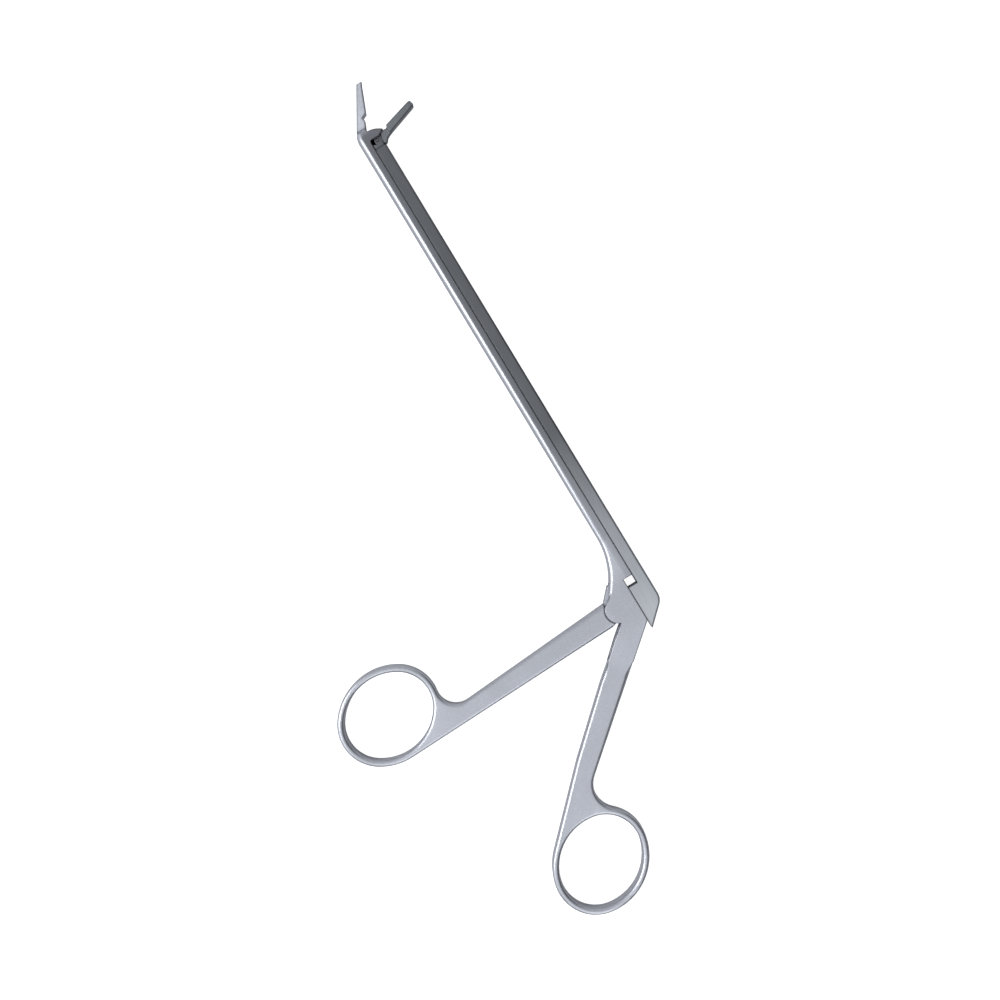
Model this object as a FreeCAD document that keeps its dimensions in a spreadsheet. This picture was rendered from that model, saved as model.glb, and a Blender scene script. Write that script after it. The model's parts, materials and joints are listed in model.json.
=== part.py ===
"""A sliding-shaft bone rongeur with up-angled cup jaws, lying on its side.

The long forging (lower shaft, fixed jaw, hub and rear handle) carries everything.
The upper shaft slides on it in a T-groove. Squeezing the front handle turns its
lever inside the hub, the lever pushes the upper shaft forward, and two prongs at
the front of the upper shaft push the moving jaw shut on the fixed one.

Frame: millimetres. +Y runs along the shaft to the jaws, +X goes from the lower
shaft to the upper one, and Z crosses the width. The origin is on the handle
pivot's axis, on the flat side face that the instrument rests on (z = 0).
The handles stand open and the jaws are apart, as the instrument rests.
"""
import FreeCAD, Part
import math
import os
import Sketcher

V = FreeCAD.Vector
os.makedirs("parts", exist_ok=True)
doc = FreeCAD.newDocument("bone_rongeur")
sheet = doc.addObject("Spreadsheet::Sheet", "Sizes")


# Sizes that carry their sheet formula with them

class Size:
    """A length or an angle: its value now, and the formula that keeps it true."""

    def __init__(self, value, text):
        self.value = value
        self.text = text

    def __add__(self, other):
        other = as_size(other)
        return Size(self.value + other.value, f"({self.text} + {other.text})")

    def __sub__(self, other):
        other = as_size(other)
        return Size(self.value - other.value, f"({self.text} - {other.text})")

    def __mul__(self, other):
        other = as_size(other)
        return Size(self.value * other.value, f"{self.text} * {other.text}")

    def __truediv__(self, other):
        other = as_size(other)
        return Size(self.value / other.value, f"({self.text} / {other.text})")

    def __neg__(self):
        return Size(-self.value, f"(0 - {self.text})")

    def __radd__(self, other):
        return as_size(other) + self

    def __rsub__(self, other):
        return as_size(other) - self

    def __rmul__(self, other):
        return as_size(other) * self


def as_size(number):
    """A bare number as a Size, so that it can join in a formula."""
    if isinstance(number, Size):
        return number
    return Size(float(number), f"({float(number)!r})")


def cosine(angle):
    return Size(math.cos(math.radians(angle.value)), f"cos({angle.text} * 1 deg)")


def sine(angle):
    return Size(math.sin(math.radians(angle.value)), f"sin({angle.text} * 1 deg)")


def tangent(angle):
    return Size(math.tan(math.radians(angle.value)), f"tan({angle.text} * 1 deg)")


rows_used = 0


def size(name, value):
    """Put one driving dimension in the sheet and give it back as a Size."""
    global rows_used
    rows_used += 1
    cell = f"A{rows_used}"
    sheet.set(cell, str(value))
    sheet.setAlias(cell, name)
    return Size(float(value), f"Sizes.{name}")


# Driving dimensions, in millimetres and degrees

# Widths across the instrument, all centred on one mid-plane
hub_width = size("hub_width", 6.4)
shaft_width = size("shaft_width", 4.8)
arm_width = size("arm_width", 5.4)
jaw_width = size("jaw_width", 3.0)
tongue_width = size("tongue_width", 2.5)
prong_width = size("prong_width", 2.5)
web_width = size("web_width", 1.2)

# Shafts: heights are along X, lengths along Y
underside = size("underside", 5.75)
seam = size("seam", 9.07)
slider_top = size("slider_top", 12.8)
taper_start = size("taper_start", 6.4)
taper_end = size("taper_end", 60.0)
flare_end = size("flare_end", 20.5)
riser = size("riser", 6.9)
heel_rise = size("heel_rise", 1.3)
underside_round = size("underside_round", 1.8)
slider_round = size("slider_round", 0.75)
flare_round = size("flare_round", 1.1)

# T-rail of the upper shaft and the groove it runs in
rail_neck = size("rail_neck", 1.1)
rail_head = size("rail_head", 2.2)
neck_height = size("neck_height", 0.55)
head_height = size("head_height", 0.9)
rail_start = size("rail_start", 8.4)
rail_setback = size("rail_setback", 6.9)
rail_gap = size("rail_gap", 0.06)

# Hub, with its seat for the upper shaft's rear block
seat_height = size("seat_height", 6.0)
hub_back = size("hub_back", 7.1)
cheek_radius = size("cheek_radius", 4.05)
pivot_radius = size("pivot_radius", 1.6)
slot_radius = size("slot_radius", 8.1)
slot_back = size("slot_back", 5.5)
side_gap = size("side_gap", 0.05)
slide_gap = size("slide_gap", 0.06)
turn_gap = size("turn_gap", 0.1)
bore_gap = size("bore_gap", 0.04)

# Lever on the front handle, and the pin that joins it to the upper shaft
lever_reach = size("lever_reach", 8.0)
handle_swing = size("handle_swing", 19.08)
link_radius = size("link_radius", 0.9)
lever_end = size("lever_end", 2.1)
lever_nose = size("lever_nose", 7.65)

# Rear block of the upper shaft
block_front = size("block_front", 4.0)
block_tail = size("block_tail", 9.9)

# Jaws and their pins
jaw_pivot_up = size("jaw_pivot_up", 8.4)
jaw_pivot_along = size("jaw_pivot_along", 158.7)
jaw_swing = size("jaw_swing", 51.5)
rim_angle = size("rim_angle", 67.5)
rim_height = size("rim_height", 0.885)
rim_gap = size("rim_gap", 0.05)
jaw_pin_radius = size("jaw_pin_radius", 0.6)
drive_pin_radius = size("drive_pin_radius", 0.5)
jaw_reach = size("jaw_reach", 17.7)
cup_wall = size("cup_wall", 0.45)
cup_depth = size("cup_depth", 1.25)
fixed_cup_start = size("fixed_cup_start", 8.2)
moving_cup_start = size("moving_cup_start", 7.5)
knuckle_radius = size("knuckle_radius", 1.1)
web_end_radius = size("web_end_radius", 1.5)
web_start_angle = size("web_start_angle", 135)
web_end_angle = size("web_end_angle", 330)
boss_radius = size("boss_radius", 1.05)

# Handle arms and finger rings
hole_long = size("hole_long", 28.6)
hole_short = size("hole_short", 24.2)
ring_wall = size("ring_wall", 2.1)
hole_flatness = size("hole_flatness", 1.5)
arm_round = size("arm_round", 1.0)
rear_crotch = size("rear_crotch", 7.5)
front_crotch = size("front_crotch", 6.0)
rear_ring_up = size("rear_ring_up", -43.25)
rear_ring_along = size("rear_ring_along", -61.75)
rear_ring_tilt = size("rear_ring_tilt", 34.0)
front_ring_up = size("front_ring_up", -75.1)
front_ring_along = size("front_ring_along", 8.2)
front_ring_tilt = size("front_ring_tilt", 12.0)
rear_arm_angle = size("rear_arm_angle", 220.2)
rear_arm_length = size("rear_arm_length", 46.5)
rear_arm_depth = size("rear_arm_depth", 7.25)
rear_arm_waist = size("rear_arm_waist", 5.6)
runout_length = size("runout_length", 12.1)
front_arm_top = size("front_arm_top", 3.9)
front_arm_bottom = size("front_arm_bottom", 3.75)
front_arm_length = size("front_arm_length", 48.0)
front_arm_droop = size("front_arm_droop", 1.95)
cheek_top_angle = size("cheek_top_angle", 139)
cheek_low_angle = size("cheek_low_angle", 251)
stop_angle = size("stop_angle", 0.9)

doc.recompute()

# Values worked out from them
middle = hub_width / 2
shaft_end = jaw_pivot_along + heel_rise
rail_end = jaw_pivot_along - rail_setback
half_swing = jaw_swing / 2
drive_reach = lever_reach * tangent(handle_swing / 2) / tangent(half_swing)
half_stroke = lever_reach * tangent(handle_swing / 2)
stroke = half_stroke * 2
link_along = -half_stroke
open_angle = rim_angle - jaw_swing
drive_up = jaw_pivot_up + drive_reach
drive_along = jaw_pivot_along - half_stroke
cheek_back = jaw_pivot_along - 0.73
shoulder = cheek_back - stroke - 0.18
slot_width = tongue_width + side_gap * 2
fork_width = prong_width + side_gap * 2


# Sketch and feature helpers

def corner(end, through=None, loose=False):
    """A straight step of an outline. A loose end is left to tangency, so a point fixes the line."""
    return {"end": end, "through": through, "loose": loose, "bent": False}


def arc(via, end, centre=None, radius=None, loose=False):
    """A round step of an outline, fixed by a point that it goes through, its centre or its radius."""
    return {"end": end, "via": via, "centre": centre, "radius": radius, "loose": loose, "bent": True}


def same_place(vector, point):
    return abs(vector.x - point[0].value) < 1e-6 and abs(vector.y - point[1].value) < 1e-6


def as_point(point):
    return (as_size(point[0]), as_size(point[1]))


def flat(point):
    return V(as_size(point[0]).value, as_size(point[1]).value, 0)


def pin_down(sketch, geometry, position, point):
    """Hold one point of a sketch at its own formulas, measured from the sketch's origin."""
    for kind, length in zip(("DistanceX", "DistanceY"), as_point(point)):
        index = sketch.addConstraint(Sketcher.Constraint(kind, -1, 1, geometry, position, length.value))
        sketch.setExpression(f"Constraints[{index}]", length.text)


def pass_through(sketch, geometry, point):
    """Make a line or an arc go through a point that is held at its own formulas."""
    dot = sketch.addGeometry(Part.Point(flat(point)), True)
    pin_down(sketch, dot, 1, point)
    sketch.addConstraint(Sketcher.Constraint("PointOnObject", dot, 1, geometry))


def hold_radius(sketch, geometry, radius):
    index = sketch.addConstraint(Sketcher.Constraint("Radius", geometry, radius.value))
    sketch.setExpression(f"Constraints[{index}]", radius.text)


def draw(sketch, start, steps):
    """Add one closed outline: each step is a corner, or an arc to the next corner."""
    steps = [step if isinstance(step, dict) else corner(step) for step in steps]
    if not same_place(flat(steps[-1]["end"]), as_point(start)):
        steps.append(corner(start))
    places = [as_point(start)] + [as_point(step["end"]) for step in steps]
    edges = []
    for step, first, last in zip(steps, places, places[1:]):
        if step["bent"]:
            curve = Part.Arc(flat(first), flat(step["via"]), flat(last))
        else:
            curve = Part.LineSegment(flat(first), flat(last))
        edges.append(sketch.addGeometry(curve, False))

    def end_at(edge, place):
        for position in (1, 2):
            if same_place(sketch.getPoint(edge, position), place):
                return position
        raise RuntimeError(f"{sketch.Name}: an edge lost its corner")

    joins = []
    for number, edge in enumerate(edges):
        following = edges[(number + 1) % len(edges)]
        place = places[number + 1]
        joins.append((edge, end_at(edge, place), following, end_at(following, place)))
    for step, join, place in zip(steps, joins, places[1:]):
        if step["loose"]:
            sketch.addConstraint(Sketcher.Constraint("Tangent", *join))
        else:
            sketch.addConstraint(Sketcher.Constraint("Coincident", *join))
            pin_down(sketch, join[0], join[1], place)
    for step, edge in zip(steps, edges):
        if step["bent"] and step["centre"]:
            pin_down(sketch, edge, 3, step["centre"])
        elif step["bent"] and step["radius"]:
            hold_radius(sketch, edge, step["radius"])
        elif step["bent"]:
            pass_through(sketch, edge, step["via"])
        elif step["through"]:
            pass_through(sketch, edge, step["through"])


def new_body(name):
    body = doc.addObject("PartDesign::Body", name)
    body.Label = name
    return body


def new_sketch(body, name, role, place=None, turn=None):
    """A sketch on one of the body's own origin planes, moved to a place in that plane's axes."""
    sketch = body.newObject("Sketcher::SketchObject", f"{body.Name}_{name}")
    plane = [feature for feature in body.Origin.OriginFeatures if feature.Role == role][0]
    sketch.AttachmentSupport = [(plane, "")]
    sketch.MapMode = "FlatFace"
    place = [as_size(value) for value in (place or (0, 0, 0))]
    base = V(*[value.value for value in place])
    sketch.AttachmentOffset = FreeCAD.Placement(base, turn or FreeCAD.Rotation())
    for axis, value in zip("xyz", place):
        sketch.setExpression(f"AttachmentOffset.Base.{axis}", value.text)
    return sketch


def extrude(body, kind, sketch, length):
    """Pad or Pocket a sketch by equal amounts to both sides of its plane."""
    feature = body.newObject(f"PartDesign::{kind}", f"{sketch.Name}_{kind.lower()}")
    feature.Profile = sketch
    feature.SideType = "Symmetric"
    length = as_size(length)
    feature.Length = length.value
    feature.setExpression("Length", length.text)
    sketch.Visibility = False
    return feature


def profile(body, kind, name, width, start, steps):
    """Pad or Pocket an outline drawn on the mid-plane, across the instrument."""
    sketch = new_sketch(body, name, "XY_Plane", (0, 0, middle))
    draw(sketch, start, steps)
    return extrude(body, kind, sketch, width)


def bore(body, name, width, up, along, radius):
    """Drill a round hole across the instrument, centred on the mid-plane."""
    sketch = new_sketch(body, name, "XY_Plane", (0, 0, middle))
    circle = sketch.addGeometry(Part.Circle(V(as_size(up).value, as_size(along).value, 0), V(0, 0, 1),
                                            radius.value), False)
    pin_down(sketch, circle, 3, (up, along))
    hold_radius(sketch, circle, radius)
    return extrude(body, "Pocket", sketch, width)


def slotted_bore(body, name, width, centre, angle, near, far, radius):
    """Cut an oblong hole whose ends lie near and far from a centre, along an angle."""
    across = (-sine(angle) * radius, cosine(angle) * radius)
    direction = (cosine(angle), sine(angle))

    def spot(distance, side):
        return (centre[0] + direction[0] * distance + across[0] * side,
                centre[1] + direction[1] * distance + across[1] * side)

    return profile(body, "Pocket", name, width, spot(near, -1),
                   [spot(far, -1),
                    arc(spot(far + radius, 0), spot(far, 1)),
                    spot(near, 1),
                    arc(spot(near - radius, 0), spot(near, -1))])


def round_edges(body, name, radius, wanted):
    """Fillet every edge of the body for which wanted(edge) is true."""
    doc.recompute()
    base = body.Tip
    names = [f"Edge{number + 1}" for number, edge in enumerate(base.Shape.Edges) if wanted(edge)]
    if not names:
        raise RuntimeError(f"{body.Name}: no edge to round for {name}")
    fillet = body.newObject("PartDesign::Fillet", f"{body.Name}_{name}")
    fillet.Base = (base, names)
    fillet.Radius = radius.value
    fillet.setExpression("Radius", radius.text)
    doc.recompute()
    return fillet


def off_middle(edge):
    """How far an edge's middle lies from the mid-plane."""
    ends = edge.ParameterRange
    return abs(edge.valueAt((ends[0] + ends[1]) / 2).z - middle.value)


def centre_of(edge):
    ends = edge.ParameterRange
    return edge.valueAt((ends[0] + ends[1]) / 2)


def runs_along(edge):
    """True for an edge that stays on one side face instead of crossing the width."""
    box = edge.BoundBox
    return box.ZLength < 0.3 * max(box.XLength, box.YLength)


# Finger rings: an oval of four tangent arcs, whose centres lie on its two axes

hole_end_radius = hole_short / 2 - hole_flatness
end_offset = hole_long / 2 - hole_end_radius
side_radius = ((end_offset * end_offset + hole_short / 2 * hole_short / 2 - hole_end_radius * hole_end_radius)
               / (hole_short - hole_end_radius * 2))
side_offset = side_radius - hole_short / 2


def in_ring(ring, wide, tall):
    """A point in a ring's own axes, long axis first, put into the instrument's frame."""
    up, along, tilt = ring
    return (up + wide * cosine(tilt) - tall * sine(tilt), along + wide * sine(tilt) + tall * cosine(tilt))


def oval_join(ring, spread, right, top):
    """Where an end arc of the oval meets a side arc, on the line through both their centres."""
    reach = (hole_end_radius + spread) / (side_radius - hole_end_radius)
    return in_ring(ring, (end_offset + end_offset * reach) * right, side_offset * reach * top)


def end_centre(ring, right):
    return in_ring(ring, end_offset * right, as_size(0))


def side_centre(ring, top):
    return in_ring(ring, as_size(0), side_offset * -top)


def end_tip(ring, spread, right):
    return in_ring(ring, (hole_long / 2 + spread) * right, as_size(0))


def side_top(ring, spread, top):
    return in_ring(ring, as_size(0), (hole_short / 2 + spread) * top)


def ring_hole(body, ring):
    profile(body, "Pocket", "ring_hole", hub_width * 2, oval_join(ring, as_size(0), 1, -1),
            [arc(end_tip(ring, 0, 1), oval_join(ring, as_size(0), 1, 1)),
             arc(side_top(ring, 0, 1), oval_join(ring, as_size(0), -1, 1)),
             arc(end_tip(ring, 0, -1), oval_join(ring, as_size(0), -1, -1)),
             arc(side_top(ring, 0, -1), oval_join(ring, as_size(0), 1, -1))])


def touching(outside, centre, radius, side):
    """Where a line from an outside point touches a circle, on one side of it."""
    gap = flat(outside) - flat(centre)
    turn = math.atan2(gap.y, gap.x) + math.acos(radius.value / gap.Length) * side
    spot = flat(centre) + V(math.cos(turn), math.sin(turn), 0) * radius.value
    return (spot.x, spot.y)


def crotch(start, heading, centre, ring_radius, radius, side):
    """Points of an arc that leaves a line and meets a ring, touching both: its start, middle and end."""
    way = (flat(heading) - flat(start)).normalize()
    out = V(way.y, -way.x, 0) * side
    gap = flat(centre) - flat(start)
    reach = ring_radius.value + radius.value
    run = gap.dot(way) - math.sqrt(reach ** 2 - (radius.value - gap.dot(out)) ** 2)
    middle_of_arc = flat(start) + way * run + out * radius.value
    to_ring = (flat(centre) - middle_of_arc).normalize()
    spots = [middle_of_arc - out * radius.value,
             middle_of_arc + (to_ring - out).normalize() * radius.value,
             middle_of_arc + to_ring * radius.value]
    return [(spot.x, spot.y) for spot in spots]


rear_ring = (rear_ring_up, rear_ring_along, rear_ring_tilt)
front_ring = (front_ring_up, front_ring_along, front_ring_tilt)


# Tapers across the width

def width_at(along):
    """Width of the shafts at a place along them, on the straight taper."""
    share = (along - taper_start) / (taper_end - taper_start)
    if share.value >= 1:
        return shaft_width
    return hub_width - (hub_width - shaft_width) * share


def thin_shaft(body, height):
    """Plane both side faces down from the hub's width to the shaft's, along the shaft."""
    sketch = new_sketch(body, "shaft_taper", "YZ_Plane", (0, middle, 0))
    far = jaw_pivot_along + jaw_reach + 5
    for side in (1, -1):
        outer = hub_width * side
        draw(sketch, (taper_start, hub_width / 2 * side),
             [(taper_end, shaft_width / 2 * side),
              (far, shaft_width / 2 * side),
              (far, outer),
              (taper_start, outer)])
    return extrude(body, "Pocket", sketch, height)


def thin_arm(body):
    """Plane both side faces down from the hub's width to the arm's, away from the pivot."""
    sketch = new_sketch(body, "arm_taper", "XZ_Plane", (0, middle, 0))
    start = -cheek_radius * 0.6
    end = start - 7
    far = end - 25
    for side in (1, -1):
        outer = hub_width * side
        draw(sketch, (start, hub_width / 2 * side),
             [(end, arm_width / 2 * side),
              (far, arm_width / 2 * side),
              (far, outer),
              (start, outer)])
    return extrude(body, "Pocket", sketch, rear_arm_length * 8)


# Jaw geometry: points measured along the rim and out across it, from the jaw pivot

def by_jaw(angle, along_rim, out):
    along_rim = as_size(along_rim)
    out = as_size(out)
    return (jaw_pivot_up + along_rim * cosine(angle) + out * sine(angle),
            jaw_pivot_along + along_rim * sine(angle) - out * cosine(angle))


def fixed(along_rim, out):
    return by_jaw(rim_angle, along_rim, out)


def moving(along_rim, out):
    return by_jaw(open_angle, along_rim, out)


def rim_plane(angle, out):
    """Place and turn of a sketch plane laid along a rim, at a height across it."""
    turn_by = math.radians(angle.value)
    turn = FreeCAD.Rotation(V(math.cos(turn_by), math.sin(turn_by), 0), V(0, 0, 1), V(0, 0, 0), "XYZ")
    spot = by_jaw(angle, 0, out)
    return (spot[0], spot[1], middle), turn


def round_tip(body, angle, out):
    """Round off a jaw's tip, seen square onto its rim."""
    centre = jaw_reach - jaw_width / 2
    half = jaw_width / 2
    place, turn = rim_plane(angle, out)
    tip = new_sketch(body, "tip_round", "XY_Plane", place, turn)
    draw(tip, (centre, half),
         [arc((jaw_reach, 0), (centre, -half)),
          (centre, -half * 2),
          (jaw_reach + half, -half * 2),
          (jaw_reach + half, half * 2),
          (centre, half * 2)])
    extrude(body, "Pocket", tip, 12)


def hollow_cup(body, angle, start, out, inward):
    """Sink the cup into a jaw between its walls, down from the rim."""
    above = as_size(0.6)
    inner = jaw_width / 2 - cup_wall
    front = jaw_reach - jaw_width / 2
    rear = start + inner + cup_wall
    place, turn = rim_plane(angle, out + (cup_depth - above) / 2 * inward)
    cup = new_sketch(body, "cup", "XY_Plane", place, turn)
    draw(cup, (rear, inner),
         [(front, inner),
          arc((front + inner, 0), (front, -inner)),
          (rear, -inner),
          arc((rear - inner, 0), (rear, inner))])
    extrude(body, "Pocket", cup, cup_depth + above)


# Long forging: lower shaft, fixed jaw, hub and rear handle in one piece

def rounded_section(body, name, along, outer, round_radius, inner):
    """Cross-section of a shaft: flat sides, and a back whose two corners are rounded."""
    along = as_size(along)
    sketch = new_sketch(body, name, "XZ_Plane", (0, middle, 0 - along))
    half = width_at(along) / 2
    way_in = 1 if outer.value < inner.value else -1
    corner = round_radius * (1 - math.sqrt(0.5))
    draw(sketch, (inner, half),
         [(outer + round_radius * way_in, half),
          arc((outer + corner * way_in, half - corner), (outer, half - round_radius)),
          (outer, -half + round_radius),
          arc((outer + corner * way_in, -half + corner), (outer + round_radius * way_in, -half)),
          (inner, -half)])
    return sketch


def loft(body, name, sections):
    feature = body.newObject("PartDesign::AdditiveLoft", f"{body.Name}_{name}")
    feature.Profile = sections[0]
    feature.Sections = sections[1:]
    feature.Ruled = True
    for sketch in sections:
        sketch.Visibility = False
    return feature


def make_main_frame():
    body = new_body("main_frame")
    body.AllowCompound = True
    tip_start = jaw_pivot_along - 1.7
    way = (cosine(rear_arm_angle), sine(rear_arm_angle))
    inward = (-way[1], way[0])
    back_corner = (seat_height, -hub_back)

    def by_arm(distance, depth):
        return (back_corner[0] + way[0] * distance - inward[0] * depth,
                back_corner[1] + way[1] * distance - inward[1] * depth)

    fixed_rim = rim_height - rim_gap / 2
    profile(body, "Pad", "tip", shaft_width, (seam, tip_start),
            [(seam, cheek_back),
             (seam + 3.0, cheek_back),
             (jaw_pivot_up + 5.8, jaw_pivot_along + 0.45),
             arc((jaw_pivot_up + 4.1, jaw_pivot_along + 1.5), (jaw_pivot_up + 1.5, jaw_pivot_along + 2.1)),
             fixed(2.9, 0.2),
             fixed(6.1, 0.27),
             fixed(6.75, -0.5),
             arc(fixed(fixed_cup_start - 0.75, 0.1), fixed(fixed_cup_start, fixed_rim)),
             fixed(jaw_reach - 0.6, fixed_rim),
             fixed(jaw_reach, fixed_rim + 0.15),
             arc(fixed(jaw_reach - 0.02, -0.35), fixed(jaw_reach - 0.45, -0.75)),
             fixed(2.4, -2.9),
             arc((underside + 0.227, shaft_end + 0.63), (underside, shaft_end - 0.9)),
             (underside, tip_start)])

    def tip_edges(edge):
        spot = centre_of(edge)
        low = spot.x < underside.value + 0.8 and spot.y < jaw_pivot_along.value + 3
        return runs_along(edge) and low and off_middle(edge) > 1.0

    round_edges(body, "tip_underside", underside_round, tip_edges)

    outer_end = hole_end_radius + ring_wall
    outer_side = side_radius + ring_wall
    elbow = by_arm(rear_arm_length, rear_arm_waist + 0.9)
    leave, bend, meet = crotch(by_arm(3, 0), by_arm(9, 0), end_centre(rear_ring, 1), outer_end, rear_crotch, -1)
    touch = touching(elbow, side_centre(rear_ring, 1), outer_side, 1)
    profile(body, "Pad", "arm", arm_width, by_arm(3, 0),
            [corner(leave, through=by_arm(9, 0), loose=True),
             arc(bend, meet, radius=rear_crotch, loose=True),
             arc(end_tip(rear_ring, ring_wall, 1), oval_join(rear_ring, ring_wall, 1, -1),
                 centre=end_centre(rear_ring, 1)),
             arc(side_top(rear_ring, ring_wall, -1), oval_join(rear_ring, ring_wall, -1, -1)),
             arc(end_tip(rear_ring, ring_wall, -1), oval_join(rear_ring, ring_wall, -1, 1)),
             arc(in_ring(rear_ring, -outer_side * sine(as_size(30)), outer_side * cosine(as_size(30)) - side_offset),
                 touch, centre=side_centre(rear_ring, 1), loose=True),
             elbow,
             by_arm(runout_length + 10.2, rear_arm_depth),
             by_arm(runout_length + 3.6, rear_arm_depth - 0.1),
             by_arm(9.2, rear_arm_depth - 0.1),
             by_arm(3, rear_arm_depth - 2)])
    ring_hole(body, rear_ring)

    def arm_edges(edge):
        spot = centre_of(edge)
        below_hub = spot.y < -hub_back.value - 1 or spot.x < -cheek_radius.value / 2
        return runs_along(edge) and spot.x < 4 and below_hub and off_middle(edge) > 1

    round_edges(body, "arm_round", arm_round, arm_edges)

    notch = (cosine(cheek_low_angle) * cheek_radius, sine(cheek_low_angle) * cheek_radius)
    cheek_top = (cosine(cheek_top_angle) * cheek_radius, sine(cheek_top_angle) * cheek_radius)
    profile(body, "Pad", "hub", hub_width, back_corner,
            [(seat_height, riser),
             (seam, riser),
             (seam, flare_end),
             (underside, flare_end),
             arc((underside - 2.05, flare_end - 8.9), (underside - 5.15, taper_start)),
             (-1.3, 3.85),
             cheek_top,
             arc((-cheek_radius, 0), notch),
             by_arm(9.2, rear_arm_depth + 0.1),
             by_arm(runout_length + 3.6, rear_arm_depth - 0.1),
             by_arm(runout_length + 8.9, rear_arm_depth - 1.4),
             by_arm(runout_length + 7.3, 1.3),
             by_arm(13, 0)])
    thin_shaft(body, hub_width * 6)
    thin_arm(body)

    def flare_edges(edge):
        spot = centre_of(edge)
        low = spot.x < underside.value + 0.01 and taper_start.value < spot.y < flare_end.value
        return runs_along(edge) and low and off_middle(edge) > 1.0 and edge.BoundBox.YLength > 10

    round_edges(body, "flare", flare_round, flare_edges)
    loft(body, "lower_bar",
         [rounded_section(body, "bar_rear", flare_end, underside, flare_round, seam),
          rounded_section(body, "bar_waist", taper_end, underside, underside_round, seam),
          rounded_section(body, "bar_front", tip_start, underside, underside_round, seam)])
    return body


def add_frame_details(body):
    """Narrow the jaw, then cut the groove, fork, slot, cup and pin holes."""
    jaw_neck = new_sketch(body, "jaw_neck", "YZ_Plane", (0, middle, 0))
    neck_start = shaft_end + 0.5
    neck_end = shaft_end + 2.1
    jaw_top = fixed(jaw_reach - 0.02, -0.35)[1]
    past_jaw = jaw_top + 1
    half_jaw = jaw_width / 2
    half_shaft = shaft_width / 2
    draw(jaw_neck, (neck_start, half_shaft),
         [arc((neck_end - 0.45, half_shaft - 0.4), (neck_end, half_jaw)),
          (jaw_top - half_jaw, half_jaw),
          arc((jaw_top, 0), (jaw_top - half_jaw, -half_jaw)),
          (neck_end, -half_jaw),
          arc((neck_end - 0.45, -half_shaft + 0.4), (neck_start, -half_shaft)),
          (neck_start, -hub_width),
          (past_jaw, -hub_width),
          (past_jaw, hub_width),
          (neck_start, hub_width)])
    extrude(body, "Pocket", jaw_neck, hub_width * 8)

    groove = new_sketch(body, "groove", "XZ_Plane", (0, middle, 0))
    half_neck = rail_neck / 2 + rail_gap
    half_head = rail_head / 2 + rail_gap
    neck_floor = seam - neck_height - rail_gap
    head_floor = seam - neck_height - head_height - rail_gap
    draw(groove, (seam + 1, half_neck),
         [(neck_floor + rail_gap * 2, half_neck),
          (neck_floor + rail_gap * 2, half_head),
          (head_floor, half_head),
          (head_floor, -half_head),
          (neck_floor + rail_gap * 2, -half_head),
          (neck_floor + rail_gap * 2, -half_neck),
          (seam + 1, -half_neck)])
    groove_start = riser - 1
    groove_end = jaw_pivot_along - 2
    groove.setExpression("AttachmentOffset.Base.z", (0 - (groove_start + groove_end) / 2).text)
    doc.recompute()
    extrude(body, "Pocket", groove, groove_end - groove_start)

    fork_back = jaw_pivot_along - 2.7
    fork_floor = jaw_pivot_up - 1.65
    fork_front = jaw_pivot_along + 1.8
    profile(body, "Pocket", "fork", fork_width, (fork_floor, fork_back),
            [(fork_floor, fork_front),
             (jaw_pivot_up + 1.05, fork_front),
             fixed(3.4, 0.28),
             (slider_top + 2, jaw_pivot_along + 3.0),
             (slider_top + 2, fork_back)])

    hollow_cup(body, rim_angle, fixed_cup_start, rim_height - rim_gap / 2, -1)

    floor_end = (-runout_length * 0.9, -slot_back - runout_length * 0.53)
    profile(body, "Pocket", "tongue_slot", slot_width, (seat_height + 1, -slot_back),
            [(seat_height + 1, 4.1),
             arc((cosine(as_size(50)) * slot_radius, sine(as_size(50)) * slot_radius),
                 (cosine(as_size(78)) * slot_radius, sine(as_size(78)) * slot_radius)),
             (-cheek_radius * 2, slot_radius),
             (floor_end[0] - 1.5, floor_end[1]),
             floor_end,
             (1.0, -slot_back)])
    bore(body, "handle_bore", hub_width * 2, 0, 0, pivot_radius)
    bore(body, "jaw_bore", hub_width * 2, jaw_pivot_up, jaw_pivot_along, jaw_pin_radius)


# Upper shaft, with its T-rail underneath, rear block and front prongs

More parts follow.
